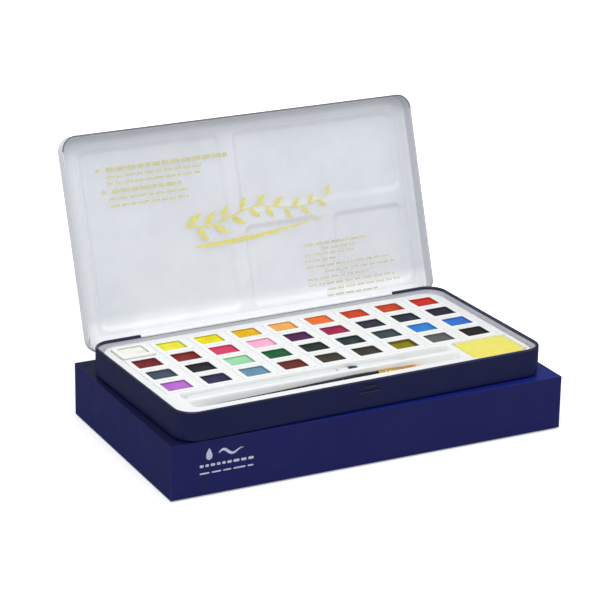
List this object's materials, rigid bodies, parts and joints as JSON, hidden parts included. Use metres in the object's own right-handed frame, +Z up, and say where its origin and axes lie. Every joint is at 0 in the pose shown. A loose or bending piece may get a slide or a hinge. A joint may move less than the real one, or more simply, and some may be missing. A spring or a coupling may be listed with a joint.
{
  "type": "watercolor pan set",
  "caption": "Hinged metal tin of half pan watercolours in a moulded tray, with a paint brush, a water brush and a sponge, standing on its telescoping storage carton.",
  "frame": {"origin": "middle of the carton's bottom face, which rests on the table", "axes": "+X along the carton's long side, +Y towards the tin's hinge side, +Z up; the front of the set faces -Y"},
  "size_m": [0.226, 0.1593, 0.1486],
  "materials": {
    "carton_board": "navy blue printed and laminated board, satin",
    "navy_enamel": "dark navy baked enamel on tinplate, semi-gloss",
    "white_enamel": "white baked enamel on tinplate, gloss",
    "hinge_steel": "drawn steel wire",
    "white_plastic": "white moulded plastic, satin",
    "clear_film": "clear self-adhesive protective film with a gold print",
    "black_lacquer": "black gloss lacquer over wood",
    "ferrule_gold": "polished, crimped",
    "brush_hair": "golden synthetic hair, pale tips",
    "frosted_plastic": "translucent frosted plastic",
    "black_rubber": "matt black",
    "white_bristle": "off-white nylon bristles",
    "sponge_yellow": "open-cell cellulose foam, pale yellow",
    "paint_white": "dried water colour cake in a white half pan",
    "paint_lemon": "dried water colour cake in a white half pan",
    "paint_yellow": "dried water colour cake in a white half pan",
    "paint_golden_yellow": "dried water colour cake in a white half pan",
    "paint_light_orange": "dried water colour cake in a white half pan",
    "paint_orange": "dried water colour cake in a white half pan",
    "paint_vermilion": "dried water colour cake in a white half pan",
    "paint_scarlet": "dried water colour cake in a white half pan",
    "paint_red": "dried water colour cake in a white half pan",
    "paint_dark_red": "dried water colour cake in a white half pan",
    "paint_red_brown": "dried water colour cake in a white half pan",
    "paint_crimson": "dried water colour cake in a white half pan",
    "paint_pink": "dried water colour cake in a white half pan",
    "paint_purple": "dried water colour cake in a white half pan",
    "paint_magenta": "dried water colour cake in a white half pan",
    "paint_violet_black": "dried water colour cake in a white half pan",
    "paint_viridian_black": "dried water colour cake in a white half pan",
    "paint_indigo_black": "dried water colour cake in a white half pan",
    "paint_slate_blue": "dried water colour cake in a white half pan",
    "paint_soft_black": "dried water colour cake in a white half pan",
    "paint_mint": "dried water colour cake in a white half pan",
    "paint_green": "dried water colour cake in a white half pan",
    "paint_dark_green": "dried water colour cake in a white half pan",
    "paint_dark_teal": "dried water colour cake in a white half pan",
    "paint_teal_grey": "dried water colour cake in a white half pan",
    "paint_sky_blue": "dried water colour cake in a white half pan",
    "paint_blue": "dried water colour cake in a white half pan",
    "paint_lilac": "dried water colour cake in a white half pan",
    "paint_navy": "dried water colour cake in a white half pan",
    "paint_grey_blue": "dried water colour cake in a white half pan",
    "paint_brown": "dried water colour cake in a white half pan",
    "paint_olive_brown": "dried water colour cake in a white half pan",
    "paint_grey_brown": "dried water colour cake in a white half pan",
    "paint_olive_yellow": "dried water colour cake in a white half pan",
    "paint_grey": "dried water colour cake in a white half pan",
    "paint_black": "dried water colour cake in a white half pan"
  },
  "bodies": {
    "carton_bottom": {"carton_base": "carton_board"},
    "carton_top": {"carton_lid": "carton_board"},
    "case": {"tin_base": "navy_enamel", "hinge_wire": "hinge_steel"},
    "case_lid": {"tin_lid": "white_enamel", "printed_film": "clear_film"},
    "insert": {"tray": "white_plastic"},
    "paint_brush": {"brush_handle": "black_lacquer", "brush_ferrule": "ferrule_gold", "brush_hair": "brush_hair"},
    "water_brush": {"water_brush_barrel": "frosted_plastic", "water_brush_collar": "black_rubber", "water_brush_bristles": "white_bristle"},
    "water_brush_cap_body": {"water_brush_cap": "frosted_plastic"},
    "cleaning_sponge": {"sponge": "sponge_yellow"},
    "pan_01_white_body": {"pan_01_white": "paint_white"},
    "pan_02_lemon_body": {"pan_02_lemon": "paint_lemon"},
    "pan_03_yellow_body": {"pan_03_yellow": "paint_yellow"},
    "pan_04_golden_yellow_body": {"pan_04_golden_yellow": "paint_golden_yellow"},
    "pan_05_light_orange_body": {"pan_05_light_orange": "paint_light_orange"},
    "pan_06_orange_body": {"pan_06_orange": "paint_orange"},
    "pan_07_vermilion_body": {"pan_07_vermilion": "paint_vermilion"},
    "pan_08_scarlet_body": {"pan_08_scarlet": "paint_scarlet"},
    "pan_09_red_body": {"pan_09_red": "paint_red"},
    "pan_10_dark_red_body": {"pan_10_dark_red": "paint_dark_red"},
    "pan_11_red_brown_body": {"pan_11_red_brown": "paint_red_brown"},
    "pan_12_crimson_body": {"pan_12_crimson": "paint_crimson"},
    "pan_13_pink_body": {"pan_13_pink": "paint_pink"},
    "pan_14_purple_body": {"pan_14_purple": "paint_purple"},
    "pan_15_magenta_body": {"pan_15_magenta": "paint_magenta"},
    "pan_16_violet_black_body": {"pan_16_violet_black": "paint_violet_black"},
    "pan_17_viridian_black_body": {"pan_17_viridian_black": "paint_viridian_black"},
    "pan_18_indigo_black_body": {"pan_18_indigo_black": "paint_indigo_black"},
    "pan_19_slate_blue_body": {"pan_19_slate_blue": "paint_slate_blue"},
    "pan_20_soft_black_body": {"pan_20_soft_black": "paint_soft_black"},
    "pan_21_mint_body": {"pan_21_mint": "paint_mint"},
    "pan_22_green_body": {"pan_22_green": "paint_green"},
    "pan_23_dark_green_body": {"pan_23_dark_green": "paint_dark_green"},
    "pan_24_dark_teal_body": {"pan_24_dark_teal": "paint_dark_teal"},
    "pan_25_teal_grey_body": {"pan_25_teal_grey": "paint_teal_grey"},
    "pan_26_sky_blue_body": {"pan_26_sky_blue": "paint_sky_blue"},
    "pan_27_blue_body": {"pan_27_blue": "paint_blue"},
    "pan_28_lilac_body": {"pan_28_lilac": "paint_lilac"},
    "pan_29_navy_body": {"pan_29_navy": "paint_navy"},
    "pan_30_grey_blue_body": {"pan_30_grey_blue": "paint_grey_blue"},
    "pan_31_brown_body": {"pan_31_brown": "paint_brown"},
    "pan_32_olive_brown_body": {"pan_32_olive_brown": "paint_olive_brown"},
    "pan_33_grey_brown_body": {"pan_33_grey_brown": "paint_grey_brown"},
    "pan_34_olive_yellow_body": {"pan_34_olive_yellow": "paint_olive_yellow"},
    "pan_35_grey_body": {"pan_35_grey": "paint_grey"},
    "pan_36_black_body": {"pan_36_black": "paint_black"}
  },
  "joints": [
    {"name": "carton_open", "type": "slide", "parent": "carton_bottom", "child": "carton_top", "axis": [0, 0, 1], "range_m": [0, 0.028]},
    {"name": "case_lift_off", "type": "slide", "parent": "carton_top", "child": "case", "axis": [0, 0, 1], "range_m": [0, 0.025]},
    {"name": "case_lid_hinge", "type": "hinge", "parent": "case", "child": "case_lid", "pos_m": [-0.00403, 0.04998, 0.0449], "axis": [-0.9996, -0.0297, 0], "range_deg": [-108, 0]},
    {"name": "case_tray_lift", "type": "slide", "parent": "case", "child": "insert", "axis": [0, 0, 1], "range_m": [0, 0.02]},
    {"name": "brush_lift", "type": "slide", "parent": "insert", "child": "paint_brush", "axis": [0, 0, 1], "range_m": [0, 0.014]},
    {"name": "brush_water_lift", "type": "slide", "parent": "insert", "child": "water_brush", "axis": [0, 0, 1], "range_m": [0, 0.014]},
    {"name": "brush_water_cap_slide", "type": "slide", "parent": "water_brush", "child": "water_brush_cap_body", "axis": [0.9996, 0.0297, 0], "range_m": [0, 0.016]},
    {"name": "cleaning_sponge_lift", "type": "slide", "parent": "insert", "child": "cleaning_sponge", "axis": [0, 0, 1], "range_m": [0, 0.014]},
    {"name": "pan_01_white_lift", "type": "slide", "parent": "insert", "child": "pan_01_white_body", "axis": [0, 0, 1], "range_m": [0, 0.012]},
    {"name": "pan_02_lemon_lift", "type": "slide", "parent": "insert", "child": "pan_02_lemon_body", "axis": [0, 0, 1], "range_m": [0, 0.012]},
    {"name": "pan_03_yellow_lift", "type": "slide", "parent": "insert", "child": "pan_03_yellow_body", "axis": [0, 0, 1], "range_m": [0, 0.012]},
    {"name": "pan_04_golden_yellow_lift", "type": "slide", "parent": "insert", "child": "pan_04_golden_yellow_body", "axis": [0, 0, 1], "range_m": [0, 0.012]},
    {"name": "pan_05_light_orange_lift", "type": "slide", "parent": "insert", "child": "pan_05_light_orange_body", "axis": [0, 0, 1], "range_m": [0, 0.012]},
    {"name": "pan_06_orange_lift", "type": "slide", "parent": "insert", "child": "pan_06_orange_body", "axis": [0, 0, 1], "range_m": [0, 0.012]},
    {"name": "pan_07_vermilion_lift", "type": "slide", "parent": "insert", "child": "pan_07_vermilion_body", "axis": [0, 0, 1], "range_m": [0, 0.012]},
    {"name": "pan_08_scarlet_lift", "type": "slide", "parent": "insert", "child": "pan_08_scarlet_body", "axis": [0, 0, 1], "range_m": [0, 0.012]},
    {"name": "pan_09_red_lift", "type": "slide", "parent": "insert", "child": "pan_09_red_body", "axis": [0, 0, 1], "range_m": [0, 0.012]},
    {"name": "pan_10_dark_red_lift", "type": "slide", "parent": "insert", "child": "pan_10_dark_red_body", "axis": [0, 0, 1], "range_m": [0, 0.012]},
    {"name": "pan_11_red_brown_lift", "type": "slide", "parent": "insert", "child": "pan_11_red_brown_body", "axis": [0, 0, 1], "range_m": [0, 0.012]},
    {"name": "pan_12_crimson_lift", "type": "slide", "parent": "insert", "child": "pan_12_crimson_body", "axis": [0, 0, 1], "range_m": [0, 0.012]},
    {"name": "pan_13_pink_lift", "type": "slide", "parent": "insert", "child": "pan_13_pink_body", "axis": [0, 0, 1], "range_m": [0, 0.012]},
    {"name": "pan_14_purple_lift", "type": "slide", "parent": "insert", "child": "pan_14_purple_body", "axis": [0, 0, 1], "range_m": [0, 0.012]},
    {"name": "pan_15_magenta_lift", "type": "slide", "parent": "insert", "child": "pan_15_magenta_body", "axis": [0, 0, 1], "range_m": [0, 0.012]},
    {"name": "pan_16_violet_black_lift", "type": "slide", "parent": "insert", "child": "pan_16_violet_black_body", "axis": [0, 0, 1], "range_m": [0, 0.012]},
    {"name": "pan_17_viridian_black_lift", "type": "slide", "parent": "insert", "child": "pan_17_viridian_black_body", "axis": [0, 0, 1], "range_m": [0, 0.012]},
    {"name": "pan_18_indigo_black_lift", "type": "slide", "parent": "insert", "child": "pan_18_indigo_black_body", "axis": [0, 0, 1], "range_m": [0, 0.012]},
    {"name": "pan_19_slate_blue_lift", "type": "slide", "parent": "insert", "child": "pan_19_slate_blue_body", "axis": [0, 0, 1], "range_m": [0, 0.012]},
    {"name": "pan_20_soft_black_lift", "type": "slide", "parent": "insert", "child": "pan_20_soft_black_body", "axis": [0, 0, 1], "range_m": [0, 0.012]},
    {"name": "pan_21_mint_lift", "type": "slide", "parent": "insert", "child": "pan_21_mint_body", "axis": [0, 0, 1], "range_m": [0, 0.012]},
    {"name": "pan_22_green_lift", "type": "slide", "parent": "insert", "child": "pan_22_green_body", "axis": [0, 0, 1], "range_m": [0, 0.012]},
    {"name": "pan_23_dark_green_lift", "type": "slide", "parent": "insert", "child": "pan_23_dark_green_body", "axis": [0, 0, 1], "range_m": [0, 0.012]},
    {"name": "pan_24_dark_teal_lift", "type": "slide", "parent": "insert", "child": "pan_24_dark_teal_body", "axis": [0, 0, 1], "range_m": [0, 0.012]},
    {"name": "pan_25_teal_grey_lift", "type": "slide", "parent": "insert", "child": "pan_25_teal_grey_body", "axis": [0, 0, 1], "range_m": [0, 0.012]},
    {"name": "pan_26_sky_blue_lift", "type": "slide", "parent": "insert", "child": "pan_26_sky_blue_body", "axis": [0, 0, 1], "range_m": [0, 0.012]},
    {"name": "pan_27_blue_lift", "type": "slide", "parent": "insert", "child": "pan_27_blue_body", "axis": [0, 0, 1], "range_m": [0, 0.012]},
    {"name": "pan_28_lilac_lift", "type": "slide", "parent": "insert", "child": "pan_28_lilac_body", "axis": [0, 0, 1], "range_m": [0, 0.012]},
    {"name": "pan_29_navy_lift", "type": "slide", "parent": "insert", "child": "pan_29_navy_body", "axis": [0, 0, 1], "range_m": [0, 0.012]},
    {"name": "pan_30_grey_blue_lift", "type": "slide", "parent": "insert", "child": "pan_30_grey_blue_body", "axis": [0, 0, 1], "range_m": [0, 0.012]},
    {"name": "pan_31_brown_lift", "type": "slide", "parent": "insert", "child": "pan_31_brown_body", "axis": [0, 0, 1], "range_m": [0, 0.012]},
    {"name": "pan_32_olive_brown_lift", "type": "slide", "parent": "insert", "child": "pan_32_olive_brown_body", "axis": [0, 0, 1], "range_m": [0, 0.012]},
    {"name": "pan_33_grey_brown_lift", "type": "slide", "parent": "insert", "child": "pan_33_grey_brown_body", "axis": [0, 0, 1], "range_m": [0, 0.012]},
    {"name": "pan_34_olive_yellow_lift", "type": "slide", "parent": "insert", "child": "pan_34_olive_yellow_body", "axis": [0, 0, 1], "range_m": [0, 0.012]},
    {"name": "pan_35_grey_lift", "type": "slide", "parent": "insert", "child": "pan_35_grey_body", "axis": [0, 0, 1], "range_m": [0, 0.012]},
    {"name": "pan_36_black_lift", "type": "slide", "parent": "insert", "child": "pan_36_black_body", "axis": [0, 0, 1], "range_m": [0, 0.012]}
  ]
}
